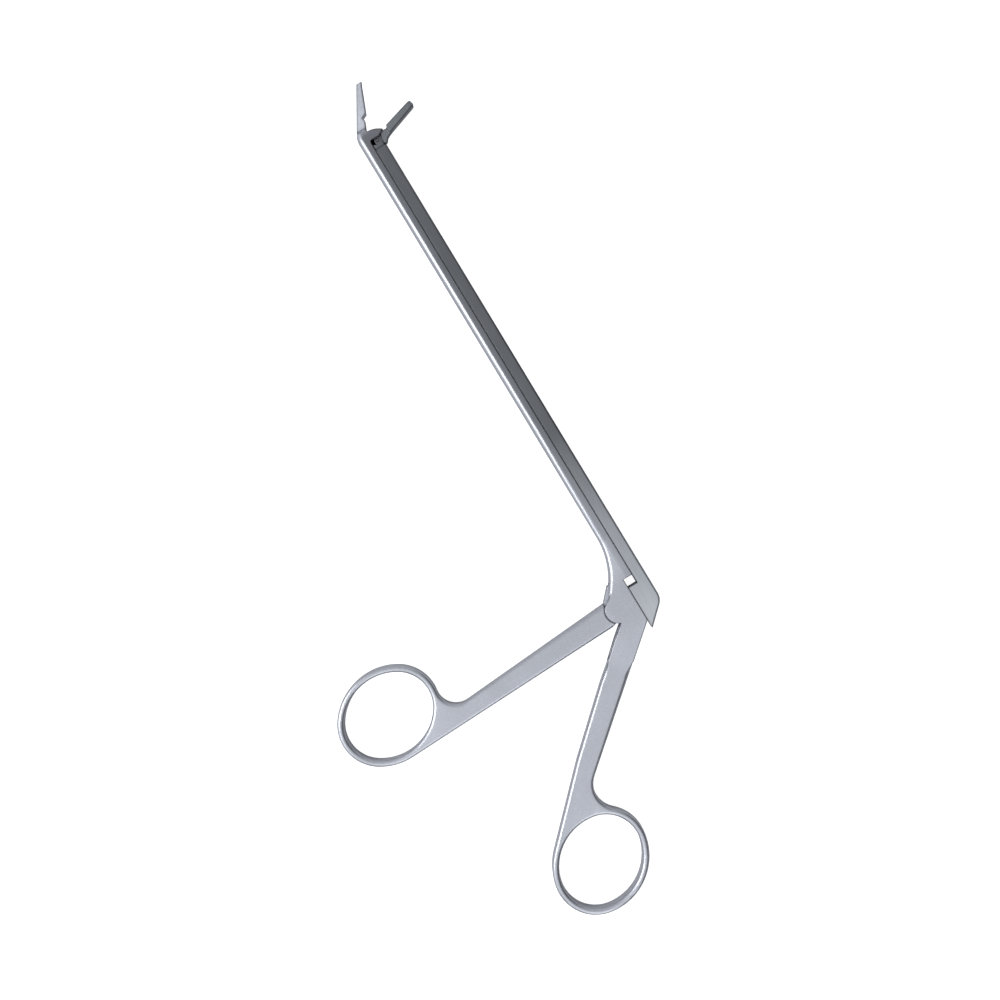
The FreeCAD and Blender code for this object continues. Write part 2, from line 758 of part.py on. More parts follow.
def make_sliding_shaft():
    body = new_body("sliding_shaft")
    body.AllowCompound = True
    foot = seat_height + slide_gap
    sole = seam + slide_gap
    tail = -block_tail
    nose = shoulder - 3
    profile(body, "Pad", "nose", shaft_width, (sole, nose),
            [(sole, shoulder),
             (slider_top - 0.9, shoulder),
             arc((slider_top - 0.264, shoulder - 0.264), (slider_top, shoulder - 0.9)),
             (slider_top, nose)])
    profile(body, "Pad", "block", hub_width, (foot, block_front),
            [(sole, block_front),
             (sole, taper_start),
             (slider_top, taper_start),
             (slider_top, tail + 8.13),
             arc((slider_top - 0.37, tail + 6.34), (slider_top - 1.42, tail + 4.85)),
             (foot, tail - 0.12)])

    def top_edges(edge):
        spot = centre_of(edge)
        outer = runs_along(edge) and off_middle(edge) > 1.5
        on_top = spot.x > slider_top.value - 0.5 and edge.BoundBox.YLength > 0.5
        on_back = spot.y < tail.value + 7 and spot.x > foot.value + 0.4
        return outer and (on_top or on_back)

    round_edges(body, "top", slider_round, top_edges)
    loft(body, "upper_bar",
         [rounded_section(body, "bar_rear", taper_start, slider_top, slider_round, sole),
          rounded_section(body, "bar_waist", taper_end, slider_top, slider_round, sole),
          rounded_section(body, "bar_front", nose, slider_top, slider_round, sole)])
    doc.recompute()

    rail = new_sketch(body, "rail", "XZ_Plane", (0, middle, 0))
    half_neck = rail_neck / 2
    half_head = rail_head / 2
    neck_floor = seam - neck_height
    head_floor = neck_floor - head_height
    draw(rail, (sole + 0.5, half_neck),
         [(neck_floor, half_neck),
          (neck_floor, half_head),
          (head_floor, half_head),
          (head_floor, -half_head),
          (neck_floor, -half_head),
          (neck_floor, -half_neck),
          (sole + 0.5, -half_neck)])
    rail.setExpression("AttachmentOffset.Base.z", (0 - (rail_start + rail_end) / 2).text)
    doc.recompute()
    extrude(body, "Pad", rail, rail_end - rail_start)

    boss_low = drive_up - boss_radius
    boss_high = drive_up + boss_radius
    profile(body, "Pad", "prongs", prong_width, (boss_low, shoulder - 1),
            [(boss_low, drive_along),
             arc((drive_up, drive_along + boss_radius), (boss_high, drive_along)),
             (boss_high, shoulder - 1)])
    profile(body, "Pocket", "web_slot", web_width + side_gap * 2, (seam - 1, shoulder - 0.9),
            [(seam - 1, drive_along + boss_radius * 2),
             (slider_top + 1, drive_along + boss_radius * 2),
             (slider_top + 1, shoulder - 0.9)])
    profile(body, "Pocket", "lever_slot", slot_width, (foot - 1, link_along - 3.7),
            [(lever_reach + 1.3, link_along - 3.4),
             arc((lever_reach + 2.75, link_along), (lever_reach + 1.3, link_along + 3.2)),
             (foot - 1, link_along + 3.6)])
    bore(body, "link_bore", hub_width * 2, lever_reach, link_along, link_radius)
    bore(body, "drive_bore", hub_width * 2, drive_up, drive_along, drive_pin_radius)
    return body


# Front handle: finger ring and arm at full width, tongue and lever inside the hub

def make_front_handle():
    body = new_body("front_handle")
    rim = cheek_radius + turn_gap
    low_angle = cheek_low_angle - handle_swing - stop_angle
    top_start = (cosine(cheek_top_angle) * rim, sine(cheek_top_angle) * rim)
    low_start = (cosine(low_angle) * rim, sine(low_angle) * rim)
    top_corner = (top_start[0] + 0.2, top_start[1] + 0.85)
    far_top = (-cheek_radius - front_arm_length, front_arm_top - front_arm_droop * 1.9)
    heel = (-cheek_radius - 0.2, -front_arm_bottom)
    outer_end = hole_end_radius + ring_wall
    outer_side = side_radius + ring_wall
    leave, bend, meet = crotch(top_corner, far_top, end_centre(front_ring, 1), outer_end, front_crotch, 1)
    touch = touching(heel, side_centre(front_ring, -1), outer_side, -1)
    profile(body, "Pad", "arm", arm_width, top_start,
            [top_corner,
             corner(leave, through=far_top, loose=True),
             arc(bend, meet, radius=front_crotch, loose=True),
             arc(in_ring(front_ring, end_offset + outer_end * cosine(as_size(20)), outer_end * sine(as_size(20))),
                 oval_join(front_ring, ring_wall, 1, 1), centre=end_centre(front_ring, 1)),
             arc(side_top(front_ring, ring_wall, 1), oval_join(front_ring, ring_wall, -1, 1)),
             arc(end_tip(front_ring, ring_wall, -1), oval_join(front_ring, ring_wall, -1, -1)),
             arc(in_ring(front_ring, -outer_side * sine(as_size(25)), side_offset - outer_side * cosine(as_size(25))),
                 touch, centre=side_centre(front_ring, -1), loose=True),
             heel,
             low_start,
             arc((-rim, 0), top_start)])
    ring_hole(body, front_ring)

    def arm_edges(edge):
        return runs_along(edge) and centre_of(edge).x < -cheek_radius.value - 3 and off_middle(edge) > 1

    round_edges(body, "arm", arm_round, arm_edges)

    lean = Size(math.degrees(math.atan2(link_along.value, lever_reach.value)),
                f"(atan({link_along.text} / {lever_reach.text}) / 1 deg)")
    tip = (lever_reach, link_along)
    profile(body, "Pad", "tongue", tongue_width, (-cheek_radius * 1.6, -front_arm_bottom * 0.6),
            [(-cheek_radius * 1.6, front_arm_top * 0.6),
             (-3.0, 3.5),
             (cosine(as_size(84)) * lever_nose, sine(as_size(84)) * lever_nose),
             arc((cosine(as_size(72)) * lever_nose, sine(as_size(72)) * lever_nose), (4.4, 5.1)),
             (tip[0] - 2.4, tip[1] + lever_end + 1.1),
             (tip[0] + 0.65, tip[1] + lever_end - 0.1),
             arc((tip[0] + lever_end, tip[1]), (tip[0] + 0.2, tip[1] - lever_end)),
             (1.0, -4.5),
             (-2.4, -3.2)])
    bore(body, "pivot_bore", hub_width * 2, 0, 0, pivot_radius + bore_gap)
    near = lever_reach - 0.02
    far = lever_reach / cosine(handle_swing / 2) + 0.02
    slotted_bore(body, "link_slot", hub_width * 2, (as_size(0), as_size(0)), lean, near, far,
                 link_radius + bore_gap)
    return body


# Moving jaw: knuckle and web between the prongs, then the full-width arm and cup

def make_moving_jaw():
    body = new_body("moving_jaw")
    rim_out = rim_height + rim_gap / 2
    arm_back = 3.55
    profile(body, "Pad", "cup_arm", jaw_width, moving(moving_cup_start - 0.9, 1.6),
            [moving(moving_cup_start - 0.55, 1.5),
             arc(moving(moving_cup_start - 0.3, 1.1), moving(moving_cup_start, rim_out)),
             moving(jaw_reach - 0.6, rim_out),
             moving(jaw_reach, rim_out + 0.15),
             arc(moving(jaw_reach - 0.02, 2.2), moving(jaw_reach - 0.5, 2.85)),
             moving(jaw_reach - 0.95, 3.12),
             moving(moving_cup_start - 0.9, arm_back)])

    def back_edges(edge):
        spot = centre_of(edge)
        corner = by_jaw(open_angle, jaw_reach / 2, 3.0)
        below = spot.y < corner[1].value + 3.5 and edge.Length > 8
        across = ((spot.x - jaw_pivot_up.value) * math.sin(math.radians(open_angle.value))
                  - (spot.y - jaw_pivot_along.value) * math.cos(math.radians(open_angle.value)))
        return runs_along(edge) and off_middle(edge) > 1 and across > 2.8 and below

    round_edges(body, "back", as_size(0.9), back_edges)
    round_tip(body, open_angle, rim_out)
    hollow_cup(body, open_angle, moving_cup_start, rim_out, 1)
    profile(body, "Pad", "arm", prong_width, moving(4.5, 0.95),
            [moving(5.0, 1.0),
             moving(6.6, 1.6),
             moving(moving_cup_start - 0.4, 1.7),
             moving(moving_cup_start + 0.2, arm_back - 0.2),
             moving(6.07, 3.5),
             moving(5.06, 3.74),
             moving(4.3, 4.25),
             arc(moving(3.6, 4.5), moving(3.1, 4.3)),
             moving(3.22, 3.6)])

    def round_pivot(turn, radius):
        return moving(cosine(as_size(turn)) * radius, sine(as_size(turn)) * radius)

    web_half_angle = (web_start_angle + web_end_angle) / 2
    profile(body, "Pad", "web", web_width, round_pivot(web_start_angle, web_end_radius),
            [arc(round_pivot(web_half_angle, web_end_radius), round_pivot(web_end_angle, web_end_radius)),
             moving(2.0, 0.42),
             moving(4.8, 1.0),
             moving(4.8, 3.6),
             moving(3.9, 4.3),
             moving(3.2, 4.3)])
    profile(body, "Pad", "knuckle", prong_width, round_pivot(0, knuckle_radius),
            [arc(round_pivot(90, knuckle_radius), round_pivot(180, knuckle_radius)),
             arc(round_pivot(270, knuckle_radius), round_pivot(0, knuckle_radius))])
    bore(body, "pivot_bore", hub_width * 2, jaw_pivot_up, jaw_pivot_along, jaw_pin_radius + bore_gap)
    pivot = (jaw_pivot_up, jaw_pivot_along)
    slotted_bore(body, "drive_slot", hub_width * 2, pivot, -half_swing,
                 drive_reach - 0.03, drive_reach / cosine(half_swing) + 0.03, drive_pin_radius + side_gap)
    return body


# Pins, ground flush with the faces that they come out of

def make_pin(name, up, along, radius, length):
    body = new_body(name)
    sketch = new_sketch(body, "round", "XY_Plane", (0, 0, middle))
    circle = sketch.addGeometry(Part.Circle(V(as_size(up).value, as_size(along).value, 0), V(0, 0, 1),
                                            radius.value), False)
    pin_down(sketch, circle, 3, (up, along))
    hold_radius(sketch, circle, radius)
    extrude(body, "Pad", sketch, length)
    return body


main_frame = make_main_frame()
add_frame_details(main_frame)
bodies = [
    main_frame,
    make_sliding_shaft(),
    make_front_handle(),
    make_moving_jaw(),
    make_pin("handle_pivot_pin", 0, 0, pivot_radius, hub_width),
    make_pin("slider_link_pin", lever_reach, link_along, link_radius, hub_width),
    make_pin("jaw_pivot_pin", jaw_pivot_up, jaw_pivot_along, jaw_pin_radius, shaft_width),
    make_pin("jaw_drive_pin", drive_up, drive_along, drive_pin_radius, prong_width),
]
doc.recompute()

for item in doc.Objects:
    if "Invalid" in item.State or "Error" in item.State:
        raise RuntimeError(f"{item.Name} failed: {item.State}")
for body in bodies:
    shape = body.Shape
    if shape.isNull() or not shape.isValid() or len(shape.Solids) != 1:
        raise RuntimeError(f"{body.Label} isn't one valid solid")
for body in bodies:
    body.Shape.exportStep(f"parts/{body.Label}.step")
    print(body.Label, round(body.Shape.Volume, 1), len(body.Shape.Faces))
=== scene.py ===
# %% [markdown]
# # A bone rongeur in satin steel
# A rongeur bites off small pieces of bone. Its upper shaft slides along the lower one and shuts a small
# cup jaw on a fixed one, while the hand squeezes two finger rings. Everything is stainless steel with a
# satin finish, so this lesson is about edges, rounding and grain: on plain metal they are all one sees.

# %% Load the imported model
import json
import math

import bpy
import numpy as np
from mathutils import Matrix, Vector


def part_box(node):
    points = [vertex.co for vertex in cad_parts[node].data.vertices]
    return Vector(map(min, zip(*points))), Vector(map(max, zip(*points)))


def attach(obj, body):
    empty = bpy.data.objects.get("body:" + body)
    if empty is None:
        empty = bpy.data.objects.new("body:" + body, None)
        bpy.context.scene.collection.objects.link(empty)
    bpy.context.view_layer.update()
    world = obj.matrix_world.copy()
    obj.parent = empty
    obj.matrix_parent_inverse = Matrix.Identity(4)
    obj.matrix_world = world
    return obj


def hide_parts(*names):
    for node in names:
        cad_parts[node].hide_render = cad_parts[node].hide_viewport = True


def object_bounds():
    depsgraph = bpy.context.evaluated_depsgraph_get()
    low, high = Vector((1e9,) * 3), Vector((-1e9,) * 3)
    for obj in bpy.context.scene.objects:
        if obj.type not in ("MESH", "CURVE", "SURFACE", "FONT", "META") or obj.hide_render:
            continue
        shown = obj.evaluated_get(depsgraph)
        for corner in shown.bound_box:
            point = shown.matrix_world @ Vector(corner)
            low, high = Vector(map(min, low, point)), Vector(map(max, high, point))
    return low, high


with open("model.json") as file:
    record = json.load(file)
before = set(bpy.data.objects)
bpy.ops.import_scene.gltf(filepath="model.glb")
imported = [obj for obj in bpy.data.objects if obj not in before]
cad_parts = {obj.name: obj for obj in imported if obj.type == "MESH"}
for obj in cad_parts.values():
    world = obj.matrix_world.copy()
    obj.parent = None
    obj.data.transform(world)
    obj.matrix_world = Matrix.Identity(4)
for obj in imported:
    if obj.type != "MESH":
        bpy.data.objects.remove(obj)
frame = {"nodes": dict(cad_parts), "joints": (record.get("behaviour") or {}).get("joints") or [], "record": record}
cad_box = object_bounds()
MM = 0.001

# %% [markdown]
# ## Places that the whole scene shares
# The model lies on its side. +Y runs along the shaft, +X crosses it from the lower bar to the sliding one,
# and +Z points up to the camera. The pivot of the front handle is the origin. The jaw's pivot is read from
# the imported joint, and its height is the middle of the steel.

# %% Read the main places
jaw_joint = next(joint for joint in frame["joints"] if joint["name"] == "jaw_bite")
jaw_pivot = np.array(jaw_joint["pos_m"])
mid_height = jaw_pivot[2]
print("jaw pivot at", jaw_pivot.round(5), "and mid-plane at z =", round(float(mid_height), 5))

# %% [markdown]
# ## The camera
# The photograph looks straight down, with the shaft leaning to the left. A camera with no tilt needs only
# a height, a turn about the vertical and a lens. The width of the picture is known at the height of the
# steel, and the lens follows from it: focal length is sensor width times distance over picture width.

# %% Place the camera
PICTURE_WIDTH = 300.0 * MM
CAMERA_HEIGHT = 430.0 * MM
SHAFT_LEAN = math.radians(31.17)
LOOK_AT = (-13.2 * MM, 46.2 * MM)
SENSOR_WIDTH = 36.0

camera_data = bpy.data.cameras.new("camera")
camera = bpy.data.objects.new("camera", camera_data)
bpy.context.collection.objects.link(camera)
camera.location = (LOOK_AT[0], LOOK_AT[1], CAMERA_HEIGHT)
camera.rotation_euler = (0.0, 0.0, -SHAFT_LEAN)
camera_data.sensor_width = SENSOR_WIDTH
camera_data.lens = SENSOR_WIDTH * (CAMERA_HEIGHT - mid_height) / PICTURE_WIDTH
camera_data.clip_start = 0.01
camera_data.clip_end = 20.0
bpy.context.scene.camera = camera
print("lens:", round(camera_data.lens, 1), "mm")

# %% [markdown]
# ## Helpers for node materials
# A material is a small network. Four helpers keep each network short to read: one adds a node and sets its
# plain inputs, one stretches a value from one range to another, one does arithmetic, and one makes noise
# that sticks to the object. The world's light is built with the same helpers.

# %% Node helpers
def add_node(tree, kind, **inputs):
    """Add one shader node and set the inputs that are plain values. Words use _ for a space."""
    node = tree.nodes.new(kind)
    for name, value in inputs.items():
        node.inputs[name.replace("_", " ")].default_value = value
    return node


def remap(tree, source, low, high, from_low=0.0, from_high=1.0):
    """Stretch a value from one range to another, and give back the socket that holds the result."""
    node = add_node(tree, "ShaderNodeMapRange", From_Min=from_low, From_Max=from_high,
                    To_Min=low, To_Max=high)
    tree.links.new(source, node.inputs["Value"])
    return node.outputs["Result"]


def combine(tree, operation, *values):
    """One arithmetic node on one or two values, each a socket or a plain number."""
    node = tree.nodes.new("ShaderNodeMath")
    node.operation = operation
    for socket, value in zip(node.inputs, values):
        if isinstance(value, bpy.types.NodeSocket):
            tree.links.new(value, socket)
        else:
            socket.default_value = value
    return node.outputs["Value"]


def grain(tree, stretch, scale, detail=2.0):
    """Noise in the object's own coordinates, squeezed by a factor along each axis."""
    place = tree.nodes.new("ShaderNodeTexCoord")
    mapping = add_node(tree, "ShaderNodeMapping", Scale=stretch)
    tree.links.new(place.outputs["Object"], mapping.inputs["Vector"])
    noise = add_node(tree, "ShaderNodeTexNoise", Scale=scale, Detail=detail, Roughness=0.6)
    tree.links.new(mapping.outputs["Vector"], noise.inputs["Vector"])
    return noise.outputs["Fac"]


# %% [markdown]
# ## Where pins are ground flush
# The pins are ground down together with the faces around them, so their ends hardly show. Each pin's axis
# and radius come from its box, and the materials leave out the rounded edge and its painted edge shade
# inside a circle around each axis.

# %% Pin places
PIN_MARGIN = 0.5 * MM
PIN_BLEND = 0.3 * MM


def pin_circle(node_name):
    """A pin seen along its axis: the middle of its box, and half the box's width, in metres."""
    low, high = (np.array(corner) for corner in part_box(node_name))
    centre = (low + high) / 2
    return float(centre[0]), float(centre[1]), float(high[0] - low[0]) / 2


FLUSH_PINS = [pin_circle(name) for name in ("handle_pivot_pin", "slider_link_pin", "jaw_pivot_pin")]
for x, y, radius in FLUSH_PINS:
    print("pin at", round(x / MM, 2), round(y / MM, 2), "radius", round(radius / MM, 2), "mm")


def clear_of_pins(tree, x_along, y_along):
    """0 on the pins and 1 away from them, from the distance d = sqrt((x - a)^2 + (y - b)^2) to each axis."""
    clear = 1.0
    for a, b, radius in FLUSH_PINS:
        across = combine(tree, "SUBTRACT", x_along, a)
        along = combine(tree, "SUBTRACT", y_along, b)
        squares = combine(tree, "ADD", combine(tree, "MULTIPLY", across, across),
                          combine(tree, "MULTIPLY", along, along))
        rim = radius + PIN_MARGIN
        outside = remap(tree, combine(tree, "SQRT", squares), 0.0, 1.0, rim, rim + PIN_BLEND)
        clear = combine(tree, "MULTIPLY", outside, clear)
    return clear


# %% [markdown]
# ## Edges and their painted shade
# A dark line is painted along each sharp edge and seam, a painted shade where the surface turns away from
# the light. A renderer can average the normals of all surface within a small radius. On an open face the
# average equals the face's own normal, and near an edge it leans towards the next face, so the two together
# say where the edges are.

# %% Edge mask
EDGE_SAMPLES = 6
SHARP_LIKENESS = 0.90
FLAT_LIKENESS = 0.995


def rounded_edges(tree, radius):
    """The averaged normal, and a mask that is 1 on a sharp edge and 0 on an open face.

    With a for the averaged normal and n for the surface's own one, the dot product a . n is 1 where they
    agree. The mask falls from 1 to 0 as it grows from SHARP_LIKENESS to FLAT_LIKENESS.
    """
    averaged = tree.nodes.new("ShaderNodeBevel")
    averaged.samples = EDGE_SAMPLES
    tree.links.new(radius, averaged.inputs["Radius"])
    surface = tree.nodes.new("ShaderNodeNewGeometry")
    likeness = tree.nodes.new("ShaderNodeVectorMath")
    likeness.operation = "DOT_PRODUCT"
    tree.links.new(averaged.outputs["Normal"], likeness.inputs[0])
    tree.links.new(surface.outputs["Normal"], likeness.inputs[1])
    mask = remap(tree, likeness.outputs["Value"], 1.0, 0.0, SHARP_LIKENESS, FLAT_LIKENESS)
    return averaged.outputs["Normal"], mask


# %% [markdown]
# ## Painted shade along the shaft
# The colour is painted darker from the hub to the front, a painted shade on all but the lower side of the
# bars, which keeps its bright highlight. The fixed jaw is painted lighter again. A shade is a factor with
# ramps along the axes, so each one says how dark and where.

# %% Shades
def shaded(tree, level, axes, painted_shades):
    """Scale a tone by each painted shade. Its ramps multiply into a weight w, and the tone by 1 + w (factor - 1).
    """
    for factor, ramps in painted_shades:
        weight = 1.0
        for axis, start, end in ramps:
            ramp = remap(tree, axes.outputs[axis], 0.0, 1.0, start, end)
            weight = combine(tree, "MULTIPLY", ramp, weight)
        level = combine(tree, "MULTIPLY", level, remap(tree, weight, 1.0, factor))
    return level


JAW_START = 160.0 * MM
JAW_END = JAW_START + 3.0 * MM
# Painted shade on the frame's shaft, fading in from the hub and out at the jaws, painted light on the fixed jaw,
# and painted shade along the sliding bar.
SHAFT_PAINTED_SHADE = (0.42, [("Y", -15.0 * MM, 62.0 * MM), ("X", 6.6 * MM, 7.5 * MM), ("Y", JAW_END, JAW_START)])
FIXED_JAW_PAINTED_LIGHT = (1.45, [("Y", JAW_START, JAW_END)])
SLIDER_PAINTED_SHADE = (0.31, [("Y", -4.0 * MM, 56.0 * MM)])

# %% [markdown]
# ## Satin steel
# Blasted stainless steel is grey metal whose gloss is broken by a fine, even grain. Two scales of noise
# matter: grain of some tenths of a millimetre, which breaks up highlights, and clouds of some centimetres,
# where the finish is a little more or less rubbed. The sliding bar is ground along its length, so its grain
# is drawn out into fine streaks. The small jaw is the darkest piece and has the strongest grain.

# %% Satin steel material
CLOUD_SCALE = 38.0
CLOUD_DETAIL = 3.0
CLOUD_RANGE = (0.3, 0.7)
CLOUD_TONE = (0.94, 1.05)
CLOUD_ROUGHNESS = (-0.03, 0.04)
GRAIN_SCALE = 3500.0
GRAIN_RANGE = (0.25, 0.75)
GRAIN_HEIGHT = 0.02 * MM
GRAIN_STRENGTH = 0.35
# Painted shade: how much darker sharp edges and seams are painted.
PAINTED_EDGE_SHADE = 0.82
EDGE_CHANGE = 2.0 * MM


def satin_steel(name, tone, roughness, stretch=(1.0, 1.0, 1.0), painted_shades=(), edge=0.65 * MM,
                jaw_edge=0.65 * MM, grain_depth=0.12):
    """Steel of one grey tone, with clouds, grain, painted shades and a painted dark line on edges and seams.

    The edge radius changes from edge to jaw_edge where the jaws start. The tone is multiplied by clouds,
    by grain between 1 - grain_depth and 1 + grain_depth, by the painted shades and by 1 minus the painted
    edge shade times the edge mask.
    """
    material = bpy.data.materials.new(name)
    material.use_nodes = True
    tree = material.node_tree
    tree.nodes.clear()
    output = tree.nodes.new("ShaderNodeOutputMaterial")
    shader = add_node(tree, "ShaderNodeBsdfPrincipled", Metallic=1.0)
    tree.links.new(shader.outputs["BSDF"], output.inputs["Surface"])

    place = tree.nodes.new("ShaderNodeTexCoord")
    axes = tree.nodes.new("ShaderNodeSeparateXYZ")
    tree.links.new(place.outputs["Object"], axes.inputs["Vector"])
    radius = remap(tree, axes.outputs["Y"], edge, jaw_edge, JAW_START, JAW_START + EDGE_CHANGE)
    radius = combine(tree, "MULTIPLY", radius, clear_of_pins(tree, axes.outputs["X"], axes.outputs["Y"]))
    normal, painted_edge_mask = rounded_edges(tree, radius)

    clouds = grain(tree, (1.0, 1.0, 1.0), CLOUD_SCALE, detail=CLOUD_DETAIL)
    fine = grain(tree, stretch, GRAIN_SCALE)
    level = combine(tree, "MULTIPLY", remap(tree, clouds, *CLOUD_TONE, *CLOUD_RANGE),
                    remap(tree, fine, 1.0 - grain_depth, 1.0 + grain_depth, *GRAIN_RANGE))
    # Painted shade along the bars and painted light on the fixed jaw.
    level = shaded(tree, level, axes, painted_shades)
    # Painted shade: the colour is made darker along sharp edges and seams.
    level = combine(tree, "MULTIPLY", level, remap(tree, painted_edge_mask, 1.0, 1.0 - PAINTED_EDGE_SHADE))
    colour = tree.nodes.new("ShaderNodeVectorMath")
    colour.operation = "SCALE"
    colour.inputs[0].default_value = tone
    tree.links.new(level, colour.inputs["Scale"])
    tree.links.new(colour.outputs["Vector"], shader.inputs["Base Color"])
    glossy, dull = (roughness + change for change in CLOUD_ROUGHNESS)
    tree.links.new(remap(tree, clouds, glossy, dull, *CLOUD_RANGE), shader.inputs["Roughness"])

    bump = add_node(tree, "ShaderNodeBump", Strength=GRAIN_STRENGTH, Distance=GRAIN_HEIGHT)
    tree.links.new(fine, bump.inputs["Height"])
    tree.links.new(normal, bump.inputs["Normal"])
    tree.links.new(bump.outputs["Normal"], shader.inputs["Normal"])
    return material


FORGED_TONE = (0.50, 0.515, 0.565)
SHAFT_TONE = (0.54, 0.56, 0.60)
JAW_TONE = (0.24, 0.255, 0.275)
STREAKS = (1.0, 0.06, 1.0)
forged_steel = satin_steel("forged satin steel", FORGED_TONE, 0.32,
                           painted_shades=[SHAFT_PAINTED_SHADE, FIXED_JAW_PAINTED_LIGHT], jaw_edge=0.9 * MM)
shaft_steel = satin_steel("ground shaft steel", SHAFT_TONE, 0.30, stretch=STREAKS,
                          painted_shades=[SLIDER_PAINTED_SHADE], edge=0.35 * MM, grain_depth=0.07)
jaw_steel = satin_steel("jaw steel", JAW_TONE, 0.30, edge=0.4 * MM, grain_depth=0.2)
finishes = {
    "main_frame": forged_steel,
    "front_handle": forged_steel,
    "sliding_shaft": shaft_steel,
    "moving_jaw": jaw_steel,
    "handle_pivot_pin": forged_steel,
    "slider_link_pin": shaft_steel,
    "jaw_pivot_pin": forged_steel,
    "jaw_drive_pin": shaft_steel,
}
print("finishes:", sorted({steel.name for steel in finishes.values()}))

# %% [markdown]
# ## A plate behind the jaw's pivot
# Between the jaw and the sliding bar's shoulder a gap of a millimetre would let daylight through. The jaw
# has a thin heel there, in the middle of its slot, and it turns with the jaw.

# %% Heel of the moving jaw
HEEL_THICKNESS = 1.2 * MM
HEEL_OUTLINE = np.array([(0.77, -3.5), (2.2, -3.4), (3.2, -1.8), (1.8, -0.1), (0.77, -0.1)]) * MM


def heel_plate():
    """A flat plate behind the jaw's pivot: the outline at both faces, two caps and a wall around."""
    count = len(HEEL_OUTLINE)
    ring = HEEL_OUTLINE + jaw_pivot[:2]
    low, high = mid_height - HEEL_THICKNESS / 2, mid_height + HEEL_THICKNESS / 2
    vertices = np.concatenate([np.column_stack([ring, np.full(count, height)]) for height in (low, high)])
    walls = [(i, (i + 1) % count, count + (i + 1) % count, count + i) for i in range(count)]
    caps = [tuple(range(count))[::-1], tuple(range(count, 2 * count))]
    return vertices, walls + caps


extras = {"moving_jaw": heel_plate()}
print("heel plate:", len(extras["moving_jaw"][1]), "faces")

# %% [markdown]
# ## Welded, smooth pieces
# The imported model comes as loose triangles, each with its own corners, so it can only shade flat. Welding
# turns it into a surface: corners that share a place become one vertex. Then faces that meet gently share
# a normal, which makes the rounded edges look round, while real corners stay crisp.

# %% Weld each node into a smooth piece
WELD_STEP = 0.0005 * MM
SMOOTH_ANGLE = math.radians(32.0)


def welded(node_name, extra=None):
    """One mesh with shared corners: each corner's place is rounded, and equal places get one number."""
    source = frame["nodes"][node_name].data
    places = np.empty(len(source.vertices) * 3)
    source.vertices.foreach_get("co", places)
    places = places.reshape(-1, 3)
    steps = (places / WELD_STEP).round().astype(np.int64)
    _, first, number = np.unique(steps, axis=0, return_index=True, return_inverse=True)
    source.calc_loop_triangles()
    faces = np.empty(len(source.loop_triangles) * 3, dtype=np.int32)
    source.loop_triangles.foreach_get("vertices", faces)
    faces = number.reshape(-1)[faces].reshape(-1, 3)
    whole = (faces[:, 0] != faces[:, 1]) & (faces[:, 1] != faces[:, 2]) & (faces[:, 2] != faces[:, 0])
    vertices, faces = places[first], faces[whole].tolist()
    if extra is not None:
        more_vertices, more_faces = extra
        faces = faces + [tuple(corner + len(vertices) for corner in face) for face in more_faces]
        vertices = np.concatenate([vertices, more_vertices])
    mesh = bpy.data.meshes.new(node_name + "_surface")
    mesh.from_pydata(vertices, [], faces)
    mesh.update()
    return mesh


def smooth_piece(node_name, extra=None):
    """A welded copy of a node that shades smooth, stands for the node and rides on its body."""
    mesh = welded(node_name, extra)
    mesh.shade_smooth()
    mesh.set_sharp_from_angle(angle=SMOOTH_ANGLE)
    piece = bpy.data.objects.new(node_name + "_finished", mesh)
    bpy.context.collection.objects.link(piece)
    mesh.materials.append(finishes[node_name])
    bodies = frame["record"]["behaviour"]["bodies"]
    body = next(body for body, nodes in bodies.items() if node_name in nodes)
    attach(piece, body)
    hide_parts(node_name)
    print(piece.name, len(mesh.vertices), "vertices on", body)


for node_name in sorted(finishes):
    smooth_piece(node_name, extras.get(node_name))

# %% [markdown]
# ## Floor
# The photograph has a white ground. The floor is a pale matt sheet that also glows for the camera alone, so
# it reads as white, takes a faint shadow and throws little light back on the steel.

# %% Floor
FLOOR_SIZE = 6.0
FLOOR_DROP = 0.02 * MM
FLOOR_GLOW = 0.9
FLOOR_TONE = (0.65, 0.65, 0.66, 1.0)


def pale_floor():
    """A flat sheet just under the steel, matt for all rays and glowing for the camera's."""
    half = FLOOR_SIZE / 2
    height = float(cad_box[0][2]) - FLOOR_DROP
    corners = [(-half, -half, height), (half, -half, height), (half, half, height), (-half, half, height)]
    mesh = bpy.data.meshes.new("floor")
    mesh.from_pydata(corners, [], [(0, 1, 2, 3)])
    floor = bpy.data.objects.new("floor", mesh)
    bpy.context.collection.objects.link(floor)
    material = bpy.data.materials.new("white floor")
    material.use_nodes = True
    tree = material.node_tree
    tree.nodes.clear()
    output = tree.nodes.new("ShaderNodeOutputMaterial")
    matt = add_node(tree, "ShaderNodeBsdfDiffuse", Color=FLOOR_TONE)
    glow = add_node(tree, "ShaderNodeEmission", Color=(1.0, 1.0, 1.0, 1.0), Strength=FLOOR_GLOW)
    both = tree.nodes.new("ShaderNodeAddShader")
    tree.links.new(matt.outputs["BSDF"], both.inputs[0])
    tree.links.new(glow.outputs["Emission"], both.inputs[1])
    rays = tree.nodes.new("ShaderNodeLightPath")
    seen = tree.nodes.new("ShaderNodeMixShader")
    tree.links.new(rays.outputs["Is Camera Ray"], seen.inputs["Fac"])
    tree.links.new(matt.outputs["BSDF"], seen.inputs[1])
    tree.links.new(both.outputs["Shader"], seen.inputs[2])
    tree.links.new(seen.outputs["Shader"], output.inputs["Surface"])
    mesh.materials.append(material)


pale_floor()
print("floor at z =", round(float(cad_box[0][2]) - FLOOR_DROP, 6))

# %% [markdown]
# ## Lamps
# Two softboxes give the bright lines on rounded edges. The key stands to the left in the picture and the
# low one towards its lower edge. Both are placed in the picture's own directions.

